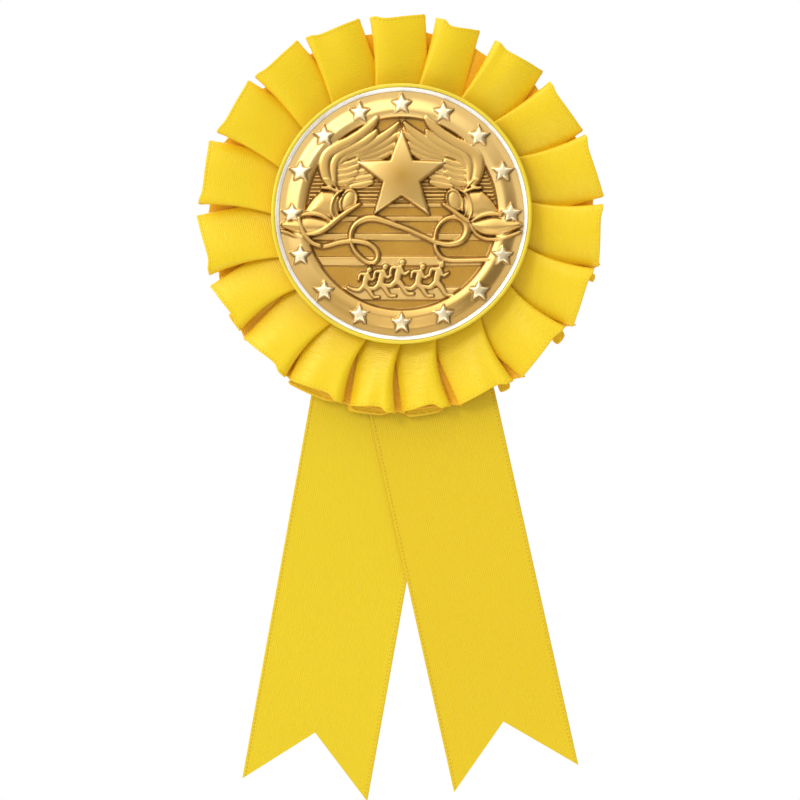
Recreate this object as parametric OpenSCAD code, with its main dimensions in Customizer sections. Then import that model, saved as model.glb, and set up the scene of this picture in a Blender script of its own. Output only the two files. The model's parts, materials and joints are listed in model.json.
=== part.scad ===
// Award ribbon: pleated rosette with a button medallion, two swallowtail tails and a bar pin.
// The origin is the middle of the pin needle. +Z is up and the front of the rosette faces -Y.
// A depth is how far a face lies in front of the needle's axis, so it runs along -Y.

/* [Rosette] */
// Number of knife pleats round the rosette
pleat_count = 19; // [17:1:21]
// Diameter of the rosette over the corners of its pleats
rosette_d = 81.6; // [80:0.2:84]
// Width of the front panel of one pleat
pleat_w = 12.4; // [11.6:0.1:13]
// Width of the satin ribbon, for the pleats and the tails
ribbon_w = 25.4; // [25:0.1:26]
// Height of a pleat's folded edge over its tucked edge
pleat_rise = 2.2; // [1.6:0.1:2.4]
// Thickness of one folded pleat panel
pleat_t = 0.9; // [0.7:0.05:1]

/* [Button and insert] */
// Diameter of the embossed insert
insert_d = 48.4; // [48:0.1:50]
// Width of the bright ring round the insert
bezel_w = 0.75; // [0.7:0.05:1]
// Wall thickness of the button's rim
button_wall = 0.7; // [0.7:0.05:1]
// Number of small stars on the insert's border
border_star_count = 16; // [12:1:18]
// Outer radius of a small star
border_star_r = 2.15; // [1.6:0.05:2.2]
// Outer radius of the large star
main_star_r = 9.6; // [8:0.1:9.8]
// Height of the large star's centre over the insert's centre
main_star_up = 7.35; // [7:0.05:8]

/* [Tails] */
// Angle of the left tail out from straight down
left_tail_angle = 10.2; // [8:0.1:12]
// Angle of the right tail out from straight down
right_tail_angle = 12.6; // [10:0.1:14]
// Left tail's centre line, right of the rosette's centre
left_tail_shift = 1.3; // [0:0.1:2.5]
// Right tail's centre line, left of the rosette's centre
right_tail_shift = 2.2; // [0:0.1:2.5]
// Length of the left tail from the rosette's centre to its tips
left_tail_len = 116.4; // [100:0.1:130]
// Length of the right tail from the rosette's centre to its tips
right_tail_len = 114.8; // [100:0.1:130]
// Depth of the swallowtail cut
notch_depth = 11.7; // [8:0.1:14]
// Thickness of a tail
tail_t = 0.4; // [0.3:0.05:0.5]

/* [Cards] */
// Diameter of the back card
back_card_d = 50.8; // [50:0.1:54]
// Diameter of the card that carries the pleats
rosette_card_d = 44; // [42:0.5:48]
// Thickness of both cards
card_t = 1; // [0.8:0.1:1.2]

/* [Bar pin] */
// Length of the pin base
pin_len = 38; // [37:0.5:40]
// Width of the pin base
pin_w = 5.2; // [5:0.1:6]
// Thickness of the pin base's sheet
pin_t = 0.8; // [0.6:0.05:1]
// Gap from the needle's axis to the pin base
pin_gap = 3; // [2.9:0.05:3.4]
// Height of the needle over the rosette's centre
pin_rise = 9; // [6:0.5:12]
// Radius of the needle's shank
needle_r = 0.45; // [0.4:0.01:0.5]

/* [Hidden] */
$fn = 96;
eps = 0.01;
// How far a cutting shape runs past the face it cuts
cut = 1;

satin = [0.93, 0.78, 0.2];
satin_dark = [0.9, 0.72, 0.18];
gold = [0.85, 0.66, 0.3];
steel = [0.75, 0.75, 0.74];
board = [0.86, 0.82, 0.74];

// Depths of the stack, from the pin base forwards
pad_t = 1;
pad_depth = pin_gap + pin_t;
back_card_depth = pad_depth + pad_t;
glue_back_t = 0.5;
glue_mid_t = 0.3;
glue_front_t = 0.1;
left_tail_depth = back_card_depth + card_t + glue_back_t;
right_tail_depth = left_tail_depth + tail_t + glue_mid_t;
rosette_card_depth = right_tail_depth + tail_t + glue_front_t;
pleat_depth = rosette_card_depth + card_t;
pleat_clamped_t = 2.9;
stitch_t = 0.4;
button_back_depth = pleat_depth + pleat_clamped_t + stitch_t;
button_back_t = 0.6;
button_floor_depth = button_back_depth + button_back_t;
button_floor_t = 0.6;
adhesive_depth = button_floor_depth + button_floor_t;
adhesive_t = 0.2;
insert_depth = adhesive_depth + adhesive_t;

// Rosette: each panel's outer edge is straight, with its corners on the outer circle
rosette_r = rosette_d / 2;
pleat_pitch = 360 / pleat_count;
panel_end_r = sqrt(pow(rosette_r, 2) - pow(pleat_w / 2, 2));
pleat_inner_r = rosette_r - ribbon_w;
pleat_web_r = 34;
pleat_web_t = 1.5;
pleat_cut_h = 20;
pleat_lift = 0.3;
stitch_inset = 3.5;
stitch_r = pleat_inner_r + stitch_inset;
stitch_size = [3, 0.5];

// Button and insert
insert_r = insert_d / 2;
ring_gap = 0.05;
adhesive_inset = 1;
adhesive_r = insert_r - adhesive_inset;
bezel_r = insert_r + ring_gap + bezel_w;
bezel_h = 1.7;
bezel_bead_r = 0.42;
bead_fn = 32;
button_inner_r = bezel_r + 2 * ring_gap;
button_r = button_inner_r + button_wall;
button_wall_h = 3;
button_bead_r = 0.4;
button_room = 0.5;
under_button_r = button_r + button_room;
insert_floor_t = 0.9;
insert_edge_t = 0.7;
band_inset = 1;
band_w = 4.6;
band_outer_r = insert_r - band_inset;
band_inner_r = band_outer_r - band_w;
band_mid_r = (band_inner_r + band_outer_r) / 2;
band_rise = 1.7;
band_round_r = (pow((band_outer_r - band_inner_r) / 2, 2) + pow(band_rise, 2)) / (2 * band_rise);
border_star_inset = 2.5;
border_star_ring_r = insert_r - border_star_inset;
border_star_h = 1.9;
main_star_base_h = 0.5;
main_star_top_h = 1.3;
main_star_tip = 0.04;
star_points = 5;
star_waist = 0.4;

// Tails: the bend line is just outside the rosette, square to the tail
bend_clear = 0.7;
bend_r = rosette_r + bend_clear;
bend_gap = 0.3;
anchor_top = 11;
glue_layer_r = 9;
button_glue_inset = 1;
button_glue_r = pleat_inner_r - button_glue_inset;

// Staples
staple_w = 9;
staple_wire = 0.4;
staple_rows = [-5, 5];
clinch_len = 3;

// Bar pin, from the pivot end at -X to the catch end at +X
pivot_inset = 2;
pivot_x = pivot_inset - pin_len / 2;
pivot_r = 0.6;
pivot_fit = 0.05;
eye_r = 1.4;
eye_h = 1.5;
ear_gap = 0.1;
ear_t = 0.7;
ear_r = 1.7;
ear_span = eye_h + 2 * (ear_gap + ear_t);
rivet_head_r = 1.1;
rivet_head_t = 0.4;
catch_inset = 8;
catch_x = pin_len / 2 - catch_inset;
catch_len = 5;
collar_t = 0.8;
collar_r = 2.7;
collar_bore_r = 1.75;
collar_slot_w = 1.6;
collar_foot_w = 2.8;
collar_foot_top = 1.9;
lock_fit = 0.05;
lock_barrel_r = 2.4;
lock_bore_r = 0.85;
lock_slot_w = 1.4;
lever_angle = 60;
lever_root = 1.2;
lever_reach = 4.4;
lever_tip_r = 0.7;
lever_t = 0.9;
lever_w = 1.6;
crimp_r = 0.7;
crimp_inset = 0.9;
crimp_len = 1.3;
crimp_start_x = pivot_x + crimp_inset;
shank_start_x = crimp_start_x + crimp_len;
taper_len = 1;
shank_end_x = catch_x - taper_len;
point_past_catch = 0.5;
point_len = 2;
point_start_x = catch_x + catch_len + point_past_catch;
point_end_x = point_start_x + point_len;
point_start_r = 0.7 * needle_r;
point_end_r = 0.05;
sew_hole_r = 0.9;
sew_hole_x = [-8, 0, 6];
pad_inset = [2, 0.8];
pad_size = [pin_len, pin_w] - pad_inset;

// Turns a flat shape into a plate that starts at a depth and goes on forwards
module plate(depth, t) {
    translate([0, -depth, 0]) rotate([90, 0, 0]) linear_extrude(t) children();
}

module disc(depth, t, r) {
    plate(depth, t) circle(r);
}

module rosette_place() {
    translate([0, 0, -pin_rise]) children();
}

module star_shape(r) {
    corners = [for (i = [0 : 2 * star_points - 1])
        let (angle = 90 + i * 180 / star_points, reach = i % 2 == 0 ? r : r * star_waist)
        [reach * cos(angle), reach * sin(angle)]];
    polygon(corners);
}

// Button and insert

module insert_section() {
    polygon([[0, 0], [insert_r, 0], [insert_r, insert_edge_t], [band_outer_r, insert_floor_t],
             [0, insert_floor_t]]);
    intersection() {
        translate([band_mid_r, insert_floor_t + band_rise - band_round_r]) circle(band_round_r);
        translate([band_mid_r - band_round_r, eps])
            square([2 * band_round_r, insert_floor_t + band_rise]);
    }
}

module medallion_insert() {
    color(gold) rosette_place() {
        translate([0, -insert_depth, 0]) rotate([90, 0, 0]) rotate_extrude() insert_section();
        for (i = [0 : border_star_count - 1]) {
            angle = i * 360 / border_star_count;
            translate([border_star_ring_r * sin(angle), 0, border_star_ring_r * cos(angle)])
                plate(insert_depth + insert_floor_t, border_star_h) star_shape(border_star_r);
        }
        translate([0, 0, main_star_up]) {
            plate(insert_depth + insert_floor_t - eps, main_star_base_h) star_shape(main_star_r);
            translate([0, -(insert_depth + insert_floor_t + main_star_base_h - 2 * eps), 0])
                rotate([90, 0, 0]) linear_extrude(main_star_top_h, scale = main_star_tip)
                    star_shape(main_star_r);
        }
    }
}

module insert_bezel() {
    color("gainsboro") rosette_place() translate([0, -adhesive_depth, 0]) rotate([90, 0, 0])
        rotate_extrude() {
            translate([insert_r + ring_gap, 0]) square([bezel_w, bezel_h]);
            translate([insert_r + ring_gap + bezel_w / 2, bezel_h]) circle(bezel_bead_r, $fn = bead_fn);
        }
}

module insert_adhesive() {
    color("white") rosette_place() disc(adhesive_depth, adhesive_t, adhesive_r);
}

module button_shell() {
    color(satin_dark) rosette_place() translate([0, -button_back_depth, 0]) rotate([90, 0, 0]) {
        translate([0, 0, button_back_t]) cylinder(h = button_floor_t, r = button_inner_r + eps);
        rotate_extrude() {
            translate([button_inner_r, 0]) square([button_wall, button_wall_h]);
            translate([button_inner_r + button_wall / 2, button_wall_h])
                circle(button_bead_r, $fn = bead_fn);
        }
    }
}

module button_back() {
    color("ivory") rosette_place() disc(button_back_depth, button_back_t, button_inner_r - ring_gap);
}

module button_glue() {
    color("linen") rosette_place()
        disc(pleat_depth, button_back_depth - pleat_depth, button_glue_r);
}

// Rosette

module pleat_panel() {
    length = panel_end_r - pleat_inner_r;
    tilt = asin(pleat_rise / pleat_w);
    depth_mid = pleat_depth + pleat_lift + (pleat_rise + pleat_t) / 2;
    translate([0, -depth_mid, pleat_inner_r + length / 2]) rotate([0, 0, tilt])
        cube([pleat_w, pleat_t, length], center = true);
}

module pleated_ribbon() {
    color(satin) rosette_place() difference() {
        union() {
            for (i = [0 : pleat_count - 1]) rotate([0, i * pleat_pitch, 0]) pleat_panel();
            disc(pleat_depth, pleat_web_t, pleat_web_r);
        }
        disc(pleat_depth - cut, pleat_cut_h, pleat_inner_r);
        disc(pleat_depth + pleat_clamped_t, pleat_cut_h, under_button_r);
    }
}

module gather_stitches() {
    color("khaki") rosette_place() for (i = [0 : pleat_count - 1]) {
        angle = i * pleat_pitch;
        rotate([0, angle, 0]) translate([0, 0, stitch_r])
            plate(pleat_depth + pleat_clamped_t, stitch_t) square(stitch_size, center = true);
    }
}

module rosette_card() {
    color(board) rosette_place() disc(rosette_card_depth, card_t, rosette_card_d / 2);
}

// Tails

module tail_glue() {
    color("linen") rosette_place() {
        disc(left_tail_depth - glue_back_t, glue_back_t, glue_layer_r);
        disc(left_tail_depth + tail_t, glue_mid_t, glue_layer_r);
        disc(right_tail_depth + tail_t, glue_front_t, glue_layer_r);
    }
}

module staple(z) {
    leg = pleat_depth + staple_wire - (left_tail_depth - staple_wire);
    translate([-staple_w / 2, -(left_tail_depth - staple_wire), z]) {
        translate([0, -staple_wire, 0]) cube([staple_w, staple_wire, staple_wire]);
        for (x = [0, staple_w - staple_wire]) translate([x, -leg, 0])
            cube([staple_wire, leg, staple_wire]);
        translate([0, -leg, 0]) cube([clinch_len, staple_wire, staple_wire]);
        translate([staple_w - clinch_len, -leg, 0]) cube([clinch_len, staple_wire, staple_wire]);
    }
}

module tail_staples() {
    color(steel) rosette_place() for (z = staple_rows) staple(z);
}

// A tail's own frame: angle out from straight down, + to the right, and a sideways shift
module tail_place(angle, shift) {
    rosette_place() rotate([0, -angle, 0]) translate([shift, 0, 0]) children();
}

module anchor_shape() {
    translate([-ribbon_w / 2, -(bend_r - bend_gap)]) square([ribbon_w, bend_r - bend_gap + anchor_top]);
}

module tail_shape(len) {
    half = ribbon_w / 2;
    polygon([[-half, -bend_r - bend_gap], [-half, -len], [0, notch_depth - len], [half, -len],
             [half, -bend_r - bend_gap]]);
}

module left_tail_anchor() {
    color(satin) tail_place(-left_tail_angle, left_tail_shift)
        plate(left_tail_depth, tail_t) anchor_shape();
}

module left_tail() {
    color(satin) tail_place(-left_tail_angle, left_tail_shift)
        plate(left_tail_depth, tail_t) tail_shape(left_tail_len);
}

module right_tail_anchor() {
    color(satin_dark) tail_place(right_tail_angle, -right_tail_shift)
        plate(right_tail_depth, tail_t) anchor_shape();
}

module right_tail() {
    color(satin_dark) tail_place(right_tail_angle, -right_tail_shift)
        plate(right_tail_depth, tail_t) tail_shape(right_tail_len);
}

// Back

module back_card() {
    color(board) rosette_place() disc(back_card_depth, card_t, back_card_d / 2);
}

module rounded_bar(length, width) {
    end_x = (length - width) / 2;
    square([2 * end_x, width], center = true);
    for (x = [-end_x, end_x]) translate([x, 0]) circle(d = width);
}

module pin_pad() {
    color("white") plate(pad_depth, pad_t) square(pad_size, center = true);
}

module ear(z) {
    translate([pivot_x, 0, z]) {
        cylinder(h = ear_t, r = ear_r);
        translate([-ear_r, -pin_gap - eps, 0]) cube([2 * ear_r, pin_gap + eps, ear_t]);
    }
}

module collar(x) {
    difference() {
        union() {
            translate([x, 0, 0]) rotate([0, 90, 0]) cylinder(h = collar_t, r = collar_r);
            translate([x, -pin_gap - eps, -collar_foot_w / 2])
                cube([collar_t, pin_gap + eps - collar_foot_top, collar_foot_w]);
        }
        translate([x - cut, 0, 0]) rotate([0, 90, 0]) cylinder(h = collar_t + 2 * cut, r = collar_bore_r);
        translate([x - cut, 0, -collar_slot_w / 2])
            cube([collar_t + 2 * cut, collar_r + cut, collar_slot_w]);
    }
}

module pin_base() {
    color(steel) difference() {
        union() {
            plate(pin_gap, pin_t) rounded_bar(pin_len, pin_w);
            ear(ear_span / 2 - ear_t);
            ear(-ear_span / 2);
            collar(catch_x);
            collar(catch_x + catch_len - collar_t);
        }
        translate([pivot_x, 0, -ear_span / 2 - cut]) cylinder(h = ear_span + 2 * cut, r = pivot_r);
        for (x = sew_hole_x) translate([x, 0, 0]) disc(pin_gap - cut, pin_t + 2 * cut, sew_hole_r);
    }
}

module pin_pivot() {
    color("silver") translate([pivot_x, 0, 0]) {
        translate([0, 0, -ear_span / 2]) cylinder(h = ear_span, r = pivot_r);
        for (z = [-ear_span / 2 - rivet_head_t, ear_span / 2]) translate([0, 0, z])
            cylinder(h = rivet_head_t, r = rivet_head_r);
    }
}

module needle_section(x0, x1, r0, r1) {
    translate([x0, 0, 0]) rotate([0, 90, 0]) cylinder(h = x1 - x0, r1 = r0, r2 = r1);
}

module pin_needle() {
    color("silver") difference() {
        union() {
            translate([pivot_x, 0, -eye_h / 2]) cylinder(h = eye_h, r = eye_r);
            needle_section(crimp_start_x, shank_start_x, crimp_r, crimp_r);
            needle_section(shank_start_x - eps, shank_end_x, needle_r, needle_r);
            needle_section(shank_end_x, point_start_x, needle_r, point_start_r);
            needle_section(point_start_x, point_end_x, point_start_r, point_end_r);
        }
        translate([pivot_x, 0, -eye_h]) cylinder(h = 2 * eye_h, r = pivot_r + pivot_fit);
    }
}

module pin_lock() {
    journal_r = collar_bore_r - lock_fit;
    barrel_x = catch_x + collar_t + ear_gap;
    barrel_len = catch_len - 2 * (collar_t + ear_gap);
    color("gainsboro") difference() {
        union() {
            translate([catch_x, 0, 0]) rotate([0, 90, 0]) cylinder(h = catch_len, r = journal_r);
            translate([barrel_x, 0, 0]) rotate([0, 90, 0]) cylinder(h = barrel_len, r = lock_barrel_r);
            translate([barrel_x + (barrel_len - lever_w) / 2, 0, 0]) rotate([-lever_angle, 0, 0]) {
                translate([0, lever_root, -lever_t / 2]) cube([lever_w, lever_reach - lever_root, lever_t]);
                translate([0, lever_reach, 0]) rotate([0, 90, 0]) cylinder(h = lever_w, r = lever_tip_r);
            }
        }
        translate([catch_x - cut, 0, 0]) rotate([0, 90, 0])
            cylinder(h = catch_len + 2 * cut, r = lock_bore_r);
        translate([catch_x - cut, 0, -lock_slot_w / 2])
            cube([catch_len + 2 * cut, lock_barrel_r + cut, lock_slot_w]);
    }
}

medallion_insert();
insert_bezel();
insert_adhesive();
button_shell();
button_back();
button_glue();
pleated_ribbon();
gather_stitches();
rosette_card();
tail_glue();
tail_staples();
left_tail_anchor();
left_tail();
right_tail_anchor();
right_tail();
back_card();
pin_pad();
pin_base();
pin_pivot();
pin_needle();
pin_lock();
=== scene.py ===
"""Award ribbon: a pleated satin rosette with a gold medallion button, two tails and a bar pin."""
import json
import math

import bmesh
import bpy
import numpy as np
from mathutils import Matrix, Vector


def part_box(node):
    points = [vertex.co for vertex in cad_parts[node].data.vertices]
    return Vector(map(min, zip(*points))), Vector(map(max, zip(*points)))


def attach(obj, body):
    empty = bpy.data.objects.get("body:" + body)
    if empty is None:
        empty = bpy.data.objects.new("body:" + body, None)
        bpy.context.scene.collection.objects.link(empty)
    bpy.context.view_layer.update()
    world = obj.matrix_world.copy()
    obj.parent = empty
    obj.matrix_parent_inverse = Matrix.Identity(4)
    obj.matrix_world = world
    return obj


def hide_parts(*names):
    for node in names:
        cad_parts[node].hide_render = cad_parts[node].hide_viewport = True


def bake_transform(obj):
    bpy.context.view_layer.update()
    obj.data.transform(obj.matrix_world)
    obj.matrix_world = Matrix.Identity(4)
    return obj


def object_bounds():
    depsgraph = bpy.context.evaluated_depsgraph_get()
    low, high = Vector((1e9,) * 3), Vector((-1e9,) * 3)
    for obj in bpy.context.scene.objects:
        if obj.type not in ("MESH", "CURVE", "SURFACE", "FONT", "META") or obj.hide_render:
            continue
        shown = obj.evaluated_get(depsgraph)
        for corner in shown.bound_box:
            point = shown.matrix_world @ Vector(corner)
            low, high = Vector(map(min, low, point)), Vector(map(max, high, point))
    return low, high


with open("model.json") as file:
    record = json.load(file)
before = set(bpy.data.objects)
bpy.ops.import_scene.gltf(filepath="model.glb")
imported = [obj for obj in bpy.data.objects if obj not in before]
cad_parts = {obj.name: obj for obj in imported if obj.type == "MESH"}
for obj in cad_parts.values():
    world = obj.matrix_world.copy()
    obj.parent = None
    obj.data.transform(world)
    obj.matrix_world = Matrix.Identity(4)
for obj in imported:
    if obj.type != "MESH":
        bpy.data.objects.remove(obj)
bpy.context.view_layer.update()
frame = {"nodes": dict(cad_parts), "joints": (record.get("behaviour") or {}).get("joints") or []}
MM = 0.001
TAU = 2 * math.pi


# ---------------- places, in millimetres

def depth_range(node):
    """How far in front of the needle's axis a CAD node starts and ends, back then front."""
    low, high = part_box(node)
    return -high.y / MM, -low.y / MM


def disc_radius(node):
    low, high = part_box(node)
    return (high.x - low.x) / 2 / MM


card_low, card_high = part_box("back_card")
CENTRE_Z = (card_low.z + card_high.z) / 2 / MM
INSERT_R = disc_radius("medallion_insert")
INSERT_BACK = depth_range("medallion_insert")[0]
PLEAT_BACK = depth_range("rosette_card")[1]
# One inch satin ribbon, and how thick it is between its selvedges
RIBBON_W = 25.4
RIBBON_T = 0.28


# ---------------- node helpers

# The sockets of a Mix node: its factor, then both inputs and the output, as numbers and as colours
FACTOR = 0
MIX_NUMBERS = (2, 3, 0)
MIX_COLOURS = (6, 7, 2)


class Nodes:
    """A node tree that is built with small calls."""

    def __init__(self, tree):
        self.tree = tree

    def put(self, socket, value):
        if isinstance(value, bpy.types.NodeSocket):
            self.tree.links.new(value, socket)
        else:
            socket.default_value = value

    def node(self, kind, **settings):
        node = self.tree.nodes.new("ShaderNode" + kind)
        for key, value in settings.items():
            setattr(node, key, value)
        return node

    def math(self, operation, a, b=0.0):
        node = self.node("Math", operation=operation)
        self.put(node.inputs[0], a)
        self.put(node.inputs[1], b)
        return node.outputs[0]

    def plus(self, a, b):
        return self.math("ADD", a, b)

    def times(self, a, b):
        return self.math("MULTIPLY", a, b)

    def spread(self, value, low, high, to_low=0.0, to_high=1.0, **settings):
        """Turns low..high into to_low..to_high."""
        node = self.node("MapRange", **settings)
        self.put(node.inputs["Value"], value)
        for key, number in (("From Min", low), ("From Max", high), ("To Min", to_low), ("To Max", to_high)):
            node.inputs[key].default_value = number
        return node.outputs["Result"]

    def mix(self, data_type, sockets, amount, first, second):
        node = self.node("Mix", data_type=data_type)
        self.put(node.inputs[FACTOR], amount)
        self.put(node.inputs[sockets[0]], first)
        self.put(node.inputs[sockets[1]], second)
        return node.outputs[sockets[2]]

    def blend_numbers(self, amount, first, second):
        return self.mix("FLOAT", MIX_NUMBERS, amount, first, second)

    def blend_colours(self, amount, first, second):
        return self.mix("RGBA", MIX_COLOURS, amount, first, second)


# ---------------- camera, light and floor

# The width of the picture where the rosette stands, in metres, and the camera's distance from there
VIEW_W = 0.1595
VIEW_DISTANCE = 1.0
SENSOR_W = 36.0
VIEW_PLANE_Y = -0.008
VIEW_DROP = 0.0369
VIEW_CENTRE = Vector((-0.0003, VIEW_PLANE_Y, CENTRE_Z * MM - VIEW_DROP))
# Where gloss and metal see the room bright
SHINE_FROM = (-0.6, 0.0, 0.8)
WHITE = (1, 1, 1, 1)


def add_object(name, data):
    thing = bpy.data.objects.new(name, data)
    bpy.context.scene.collection.objects.link(thing)
    return thing


def make_camera():
    data = bpy.data.cameras.new("camera")
    data.sensor_width = SENSOR_W
    data.lens = SENSOR_W * VIEW_DISTANCE / VIEW_W
    camera = add_object("camera", data)
    camera.location = VIEW_CENTRE + Vector((0, -VIEW_DISTANCE, 0))
    camera.rotation_euler = (math.pi / 2, 0, 0)
    bpy.context.scene.camera = camera


def make_area_light(name, place, size, watts, colour=WHITE[:3]):
    data = bpy.data.lights.new(name, "AREA")
    data.shape = "DISK"
    data.size = size
    data.energy = watts
    data.color = colour
    lamp = add_object(name, data)
    lamp.location = place
    lamp.rotation_euler = (VIEW_CENTRE - lamp.location).to_track_quat("-Z", "Y").to_euler()


def make_world():
    """A white room, dim behind the camera. Gloss sees one side of it bright and the other side dark."""
    world = bpy.data.worlds.new("studio")
    bpy.context.scene.world = world
    world.use_nodes = True
    world.node_tree.nodes.clear()
    nodes = Nodes(world.node_tree)
    place = nodes.node("TexCoord").outputs["Generated"]

    def lobe(direction, start, end, low, high):
        aim = nodes.node("VectorMath", operation="DOT_PRODUCT")
        nodes.put(aim.inputs[0], place)
        aim.inputs[1].default_value = Vector(direction).normalized()
        return nodes.spread(aim.outputs["Value"], start, end, low, high, interpolation_type="SMOOTHSTEP")

    behind_camera = lobe((0.25, -0.93, -0.25), -0.2, 0.98, 1.1, 0.6)
    upper_left = lobe((-0.55, -0.45, 0.7), 0.5, 0.98, 0.0, 0.9)
    room = nodes.plus(behind_camera, upper_left)
    wide_shine = lobe(SHINE_FROM, -0.55, 0.3, 0.1, 1.05)
    shine = nodes.plus(wide_shine, lobe(SHINE_FROM, 0.25, 0.8, 0.0, 1.6))
    path = nodes.node("LightPath")
    glossy = path.outputs["Is Glossy Ray"]
    light = nodes.blend_numbers(glossy, room, shine)
    # gloss sees the dark side of the room in a warm colour, and everything else sees it white
    warm = nodes.blend_colours(lobe(SHINE_FROM, -0.5, 0.1, 0.0, 1.0), (1.0, 0.74, 0.42, 1), WHITE)
    back = nodes.node("Background")
    nodes.put(back.inputs["Color"], nodes.blend_colours(glossy, WHITE, warm))
    # the camera itself sees plain white
    nodes.put(back.inputs["Strength"], nodes.blend_numbers(path.outputs["Is Camera Ray"], light, 1.0))
    nodes.put(nodes.node("OutputWorld").inputs[0], back.outputs[0])


def make_floor():
    """A pale round floor, low enough to stay out of the camera's view."""
    below_ribbon = 0.12
    floor_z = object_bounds()[0][2] - below_ribbon
    radius, sides = 0.22, 96
    verts = [(radius * math.cos(TAU * i / sides), radius * math.sin(TAU * i / sides), floor_z)
             for i in range(sides)]
    mesh = bpy.data.meshes.new("floor")
    mesh.from_pydata(verts, [], [list(range(sides))])
    floor = add_object("floor", mesh)
    material = bpy.data.materials.new("floor_white")
    material.use_nodes = True
    shader = material.node_tree.nodes["Principled BSDF"]
    shader.inputs["Base Color"].default_value = (0.86, 0.86, 0.85, 1)
    shader.inputs["Roughness"].default_value = 0.8
    mesh.materials.append(material)


# ---------------- material helpers

class Shader(Nodes):
    """A Principled material whose colour, roughness and bump are built with small node calls."""

    def __init__(self, name, **constants):
        self.material = bpy.data.materials.new(name)
        self.material.use_nodes = True
        super().__init__(self.material.node_tree)
        self.bsdf = self.tree.nodes["Principled BSDF"]
        for key, value in constants.items():
            self.bsdf.inputs[key.replace("_", " ")].default_value = value

    def set(self, key, value):
        self.put(self.bsdf.inputs[key], value)

    def attribute(self, name, output="Fac"):
        return self.node("Attribute", attribute_name=name).outputs[output]

    def object_place(self, scale=(1, 1, 1)):
        node = self.node("Mapping")
        self.put(node.inputs["Vector"], self.node("TexCoord").outputs["Object"])
        node.inputs["Scale"].default_value = scale
        return node.outputs[0]

    def noise(self, vector, scale, detail, roughness=0.5):
        node = self.node("TexNoise")
        self.put(node.inputs["Vector"], vector)
        node.inputs["Scale"].default_value = scale
        node.inputs["Detail"].default_value = detail
        node.inputs["Roughness"].default_value = roughness
        return node.outputs["Fac"]

    def bump(self, height, distance, strength, below=None):
        node = self.node("Bump")
        self.put(node.inputs["Height"], height)
        node.inputs["Distance"].default_value = distance
        node.inputs["Strength"].default_value = strength
        if below is not None:
            self.put(node.inputs["Normal"], below)
        return node.outputs[0]


# The satin's weave (mm): its ribs, its picks, and how far apart and how far in the selvedge's dots are
RIB_GAP = 0.42
PICK_GAP = 0.46
DOT_GAP = 0.82
DOT_ROW = 0.6


def satin(name, light, deep, dot_depth):
    """Satin ribbon. cloth.x runs along it, cloth.y across it (mm), and cloth.z is how much painted fold
    shade it gets, 1 deep in a fold.
    """
    s = Shader(name, Sheen_Weight=0.2, Sheen_Roughness=0.35, Specular_IOR_Level=0.5)
    s.bsdf.inputs["Sheen Tint"].default_value = (1.0, 0.86, 0.3, 1)
    s.bsdf.inputs["Specular Tint"].default_value = (1.0, 0.92, 0.55, 1)
    split = s.node("SeparateXYZ")
    s.put(split.inputs[0], s.attribute("cloth", "Vector"))
    along, across = split.outputs[0], split.outputs[1]
    edge = s.math("MINIMUM", across, s.math("SUBTRACT", RIBBON_W, across))
    # floats of the satin weave: long along the ribbon, short across it
    combine = s.node("CombineXYZ")
    s.put(combine.inputs[0], s.times(along, 0.35))
    s.put(combine.inputs[1], s.times(across, 5.5))
    floats = s.noise(combine.outputs[0], 1.0, 2.0)
    ribs = s.math("SINE", s.times(across, TAU / RIB_GAP))
    picks = s.math("SINE", s.times(along, TAU / PICK_GAP))
    weave = s.plus(s.times(ribs, 0.5), s.times(picks, 0.2))
    # the selvedge: a row of small dots and a tighter band outside it
    row = s.spread(s.math("ABSOLUTE", s.math("SUBTRACT", edge, DOT_ROW)), 0.06, 0.2, 1.0, 0.0)
    beat = s.spread(s.math("SINE", s.times(along, TAU / DOT_GAP)), -0.1, 0.6)
    dots = s.times(row, beat)
    band = s.spread(edge, 0.3, 0.5, 1.0, 0.0)
    streaks = s.spread(floats, 0.3, 0.7, 0.0, 0.34)
    selvedge = s.plus(s.times(dots, dot_depth), s.times(band, 0.25))
    shade = s.plus(streaks, selvedge)
    cloth = s.blend_colours(shade, light, deep)
    # painted shade: where cloth.z is high, deep in a fold, the satin is painted darker and more orange
    folded = (light[0] * 1.04, light[1] * 0.78, light[2] * 1.3, 1)
    s.set("Base Color", s.blend_colours(split.outputs[2], cloth, folded))
    s.set("Roughness", s.spread(floats, 0.35, 0.65, 0.24, 0.46))
    height = s.plus(s.times(weave, 0.6), s.times(floats, 1.7))
    height = s.math("SUBTRACT", height, s.times(dots, 2.2))
    s.set("Normal", s.bump(height, 0.00004, 0.6))
    return s.material


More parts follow.
